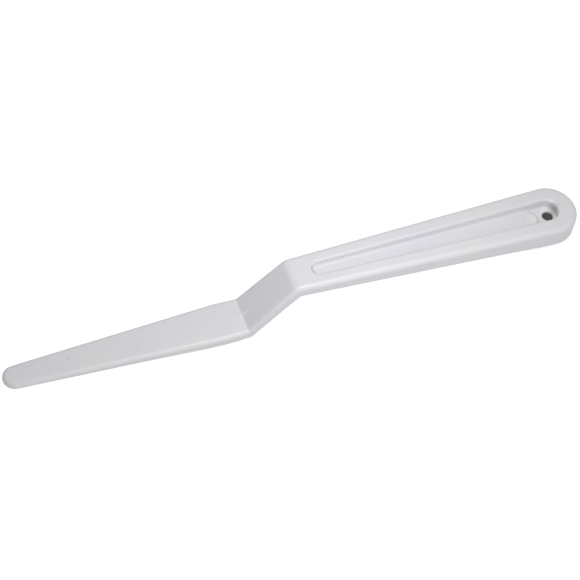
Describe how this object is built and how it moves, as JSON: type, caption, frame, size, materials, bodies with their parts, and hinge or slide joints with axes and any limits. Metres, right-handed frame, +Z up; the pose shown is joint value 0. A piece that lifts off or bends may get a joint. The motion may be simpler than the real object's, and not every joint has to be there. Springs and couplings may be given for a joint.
{
  "type": "flexible putty knife",
  "caption": "Slim plastic putty knife with a narrow flexible blade, a cranked neck and a channelled handle with a hanging hole.",
  "frame": {"origin": "centre of the footprint, on the table that the tool lies on, touching at its heel and the lower edge of its butt", "axes": "+X from the blade's tip towards the butt, +Y across the width, +Z up from the table"},
  "size_m": [0.2106, 0.0202, 0.0196],
  "materials": {
    "white_plastic": "satin"
  },
  "bodies": {
    "handle": {"handle": "white_plastic"},
    "neck": {"neck": "white_plastic"},
    "blade_root": {"blade_root": "white_plastic"},
    "blade_middle": {"blade_middle": "white_plastic"},
    "blade_front": {"blade_front": "white_plastic"},
    "blade_tip": {"blade_tip": "white_plastic"}
  },
  "joints": [
    {"name": "crest_flex", "type": "hinge", "parent": "handle", "child": "neck", "pos_m": [-0.00174, 0, 0.01749], "axis": [0, 1, 0], "range_deg": [-5, 5], "stiffness_Nm_per_rad": 5.9},
    {"name": "heel_flex", "type": "hinge", "parent": "neck", "child": "blade_root", "pos_m": [-0.02019, 0, 0.00191], "axis": [0, 1, 0], "range_deg": [-6.5, 6.5], "stiffness_Nm_per_rad": 3.8},
    {"name": "middle_flex", "type": "hinge", "parent": "blade_root", "child": "blade_middle", "pos_m": [-0.04356, 0, 0.00435], "axis": [0, 1, 0], "range_deg": [-6.5, 6.5], "stiffness_Nm_per_rad": 2.7},
    {"name": "front_flex", "type": "hinge", "parent": "blade_middle", "child": "blade_front", "pos_m": [-0.06544, 0, 0.00664], "axis": [0, 1, 0], "range_deg": [-7, 7], "stiffness_Nm_per_rad": 1.65},
    {"name": "tip_flex", "type": "hinge", "parent": "blade_front", "child": "blade_tip", "pos_m": [-0.08533, 0, 0.00872], "axis": [0, 1, 0], "range_deg": [-7.2, 7.2], "stiffness_Nm_per_rad": 0.8}
  ],
  "couplings": [
    {"joint": "heel_flex", "follows": "crest_flex", "ratio": 1.3},
    {"joint": "middle_flex", "follows": "crest_flex", "ratio": 1.3},
    {"joint": "front_flex", "follows": "crest_flex", "ratio": 1.4},
    {"joint": "tip_flex", "follows": "crest_flex", "ratio": 1.44}
  ]
}
